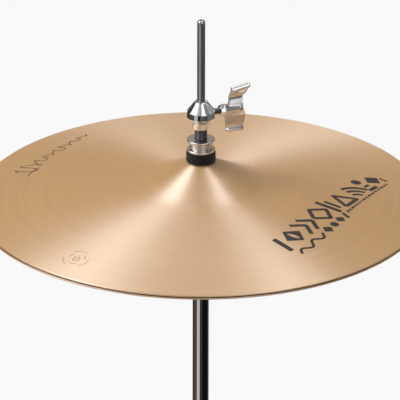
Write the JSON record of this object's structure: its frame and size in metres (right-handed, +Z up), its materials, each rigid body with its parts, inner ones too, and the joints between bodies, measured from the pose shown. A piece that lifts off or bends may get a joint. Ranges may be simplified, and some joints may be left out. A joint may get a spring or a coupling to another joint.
{
  "type": "hi hat",
  "caption": "Closed pair of bronze hi-hat cymbals on a clutch and pull rod, over a chromed tube stand with a foot pedal and folding tripod legs.",
  "frame": {"origin": "on the floor under the middle of the stand, on the axis of the pull rod", "axes": "+Z up along the pull rod, -Y towards the heel of the pedal, +X to the right of a player who faces the stand"},
  "size_m": [0.5424, 0.6216, 0.9914],
  "materials": {
    "cymbal_bronze": "turned with fine lathe grooves, thin clear lacquer",
    "bright_chrome": "polished chrome plate",
    "nickel": "satin nickel plate",
    "rod_steel": "polished plated steel",
    "dark_thread": "dark oiled thread",
    "black_felt": "pressed wool felt",
    "nylon": "black nylon",
    "rubber_black": "matt black rubber",
    "cast_grey": "fine-textured silver-grey paint on aluminium casting",
    "spring_steel": "oiled spring wire"
  },
  "bodies": {
    "stand": {"lower_tube": "bright_chrome", "tube_liner": "nylon", "height_clamp": "bright_chrome", "yoke": "cast_grey", "yoke_pads": "rubber_black", "tube_screw": "nickel", "brace_pins": "nickel", "spring_seat": "nylon", "spring": "spring_steel", "frame_rods": "rod_steel", "heel_plate": "cast_grey", "heel_mat": "rubber_black", "heel_pin": "nickel"},
    "mast": {"upper_tube": "bright_chrome", "rod_bushing": "nylon", "cymbal_seat": "nickel", "seat_screw": "nickel", "seat_felt": "black_felt"},
    "low_hat": {"bottom_cymbal": "cymbal_bronze"},
    "rod": {"upper_pull_rod": "rod_steel", "rod_coupler": "rod_steel", "lower_pull_rod": "rod_steel", "spring_collar": "nickel", "rod_clevis": "nickel", "clevis_pin": "nickel"},
    "clutch": {"clutch_body": "bright_chrome", "clutch_stem": "dark_thread", "clutch_lock_nut": "nickel", "clutch_felt_nut": "nickel", "clutch_upper_felt": "black_felt", "clutch_lower_felt": "black_felt", "clutch_bottom_nut": "nickel"},
    "clutch_wing": {"clutch_wing_stud": "dark_thread", "clutch_wing_head": "bright_chrome"},
    "high_hat": {"top_cymbal": "cymbal_bronze"},
    "height_wing": {"height_bolt_stud": "dark_thread", "height_bolt_head": "bright_chrome"},
    "leg_slider": {"leg_collar": "bright_chrome", "leg_collar_pins": "nickel"},
    "leg_wing": {"leg_bolt_stud": "dark_thread", "leg_bolt_head": "bright_chrome"},
    "pedal": {"footboard": "cast_grey", "toe_pin": "nickel"},
    "link": {"pull_link": "nickel"},
    "leg_1": {"leg_1_left_strap": "bright_chrome", "leg_1_right_strap": "bright_chrome", "leg_1_rivet": "nickel", "leg_1_foot": "rubber_black"},
    "brace_1": {"leg_1_brace": "bright_chrome"},
    "leg_2": {"leg_2_left_strap": "bright_chrome", "leg_2_right_strap": "bright_chrome", "leg_2_rivet": "nickel", "leg_2_foot": "rubber_black"},
    "brace_2": {"leg_2_brace": "bright_chrome"},
    "leg_3": {"leg_3_left_strap": "bright_chrome", "leg_3_right_strap": "bright_chrome", "leg_3_rivet": "nickel", "leg_3_foot": "rubber_black"},
    "brace_3": {"leg_3_brace": "bright_chrome"}
  },
  "joints": [
    {"name": "rod_slide", "type": "slide", "parent": "stand", "child": "rod", "axis": [0, 0, 1], "range_m": [0, 0.033], "stiffness_N_per_m": 500, "springref_m": 0.085, "deforming": ["spring"]},
    {"name": "footboard_hinge", "type": "hinge", "parent": "stand", "child": "pedal", "pos_m": [0, -0.25, 0.024], "axis": [1, 0, 0], "range_deg": [-0.05, 8.6]},
    {"name": "link_hinge", "type": "hinge", "parent": "rod", "child": "link", "pos_m": [0, 0, 0.092], "axis": [-1, 0, 0], "range_deg": [-0.05, 6.86]},
    {"name": "clutch_slide", "type": "slide", "parent": "rod", "child": "clutch", "axis": [0, 0, 1], "range_m": [0, 0.065]},
    {"name": "clutch_wing_turn", "type": "hinge", "parent": "clutch", "child": "clutch_wing", "pos_m": [0, 0, 0.9114], "axis": [0.9135, 0.4067, 0], "range_deg": [0, 540]},
    {"name": "top_cymbal_spin", "type": "hinge", "parent": "clutch", "child": "high_hat", "pos_m": [0, 0, 0.8716], "axis": [0, 0, 1], "continuous": true},
    {"name": "height_slide", "type": "slide", "parent": "stand", "child": "mast", "axis": [0, 0, 1], "range_m": [-0.11, 0]},
    {"name": "height_wing_turn", "type": "hinge", "parent": "stand", "child": "height_wing", "pos_m": [0, 0, 0.5115], "axis": [0.866, 0.5, 0], "range_deg": [0, 540]},
    {"name": "bottom_cymbal_spin", "type": "hinge", "parent": "mast", "child": "low_hat", "pos_m": [0, 0, 0.7954], "axis": [0, 0, 1], "continuous": true},
    {"name": "leg_collar_slide", "type": "slide", "parent": "stand", "child": "leg_slider", "axis": [0, 0, 1], "range_m": [0, 0.15316]},
    {"name": "leg_wing_turn", "type": "hinge", "parent": "leg_slider", "child": "leg_wing", "pos_m": [0, 0, 0.26458], "axis": [0.866, 0.5, 0], "range_deg": [0, 540]},
    {"name": "leg_1_hinge", "type": "hinge", "parent": "leg_slider", "child": "leg_1", "pos_m": [0, 0.024, 0.25558], "axis": [-1, 0, 0], "range_deg": [-0.1, 36.2]},
    {"name": "brace_1_hinge", "type": "hinge", "parent": "stand", "child": "brace_1", "pos_m": [0, 0.024, 0.155], "axis": [1, 0, 0], "range_deg": [-0.1, 73.85]},
    {"name": "leg_2_hinge", "type": "hinge", "parent": "leg_slider", "child": "leg_2", "pos_m": [-0.02079, -0.012, 0.25558], "axis": [0.5, -0.866, 0], "range_deg": [-0.1, 36.2]},
    {"name": "brace_2_hinge", "type": "hinge", "parent": "stand", "child": "brace_2", "pos_m": [-0.02079, -0.012, 0.155], "axis": [-0.5, 0.866, 0], "range_deg": [-0.1, 73.85]},
    {"name": "leg_3_hinge", "type": "hinge", "parent": "leg_slider", "child": "leg_3", "pos_m": [0.02079, -0.012, 0.25558], "axis": [0.5, 0.866, 0], "range_deg": [-0.1, 36.2]},
    {"name": "brace_3_hinge", "type": "hinge", "parent": "stand", "child": "brace_3", "pos_m": [0.02079, -0.012, 0.155], "axis": [-0.5, -0.866, 0], "range_deg": [-0.1, 73.85]}
  ],
  "couplings": [
    {"joint": "footboard_hinge", "follows": "rod_slide", "rad_per_m": 4.4971},
    {"joint": "link_hinge", "follows": "rod_slide", "rad_per_m": 3.5774},
    {"joint": "leg_1_hinge", "follows": "leg_collar_slide", "rad_per_m": 4.1022},
    {"joint": "brace_1_hinge", "follows": "leg_collar_slide", "rad_per_m": 8.3921},
    {"joint": "leg_2_hinge", "follows": "leg_collar_slide", "rad_per_m": 4.1022},
    {"joint": "brace_2_hinge", "follows": "leg_collar_slide", "rad_per_m": 8.3921},
    {"joint": "leg_3_hinge", "follows": "leg_collar_slide", "rad_per_m": 4.1022},
    {"joint": "brace_3_hinge", "follows": "leg_collar_slide", "rad_per_m": 8.3921}
  ]
}
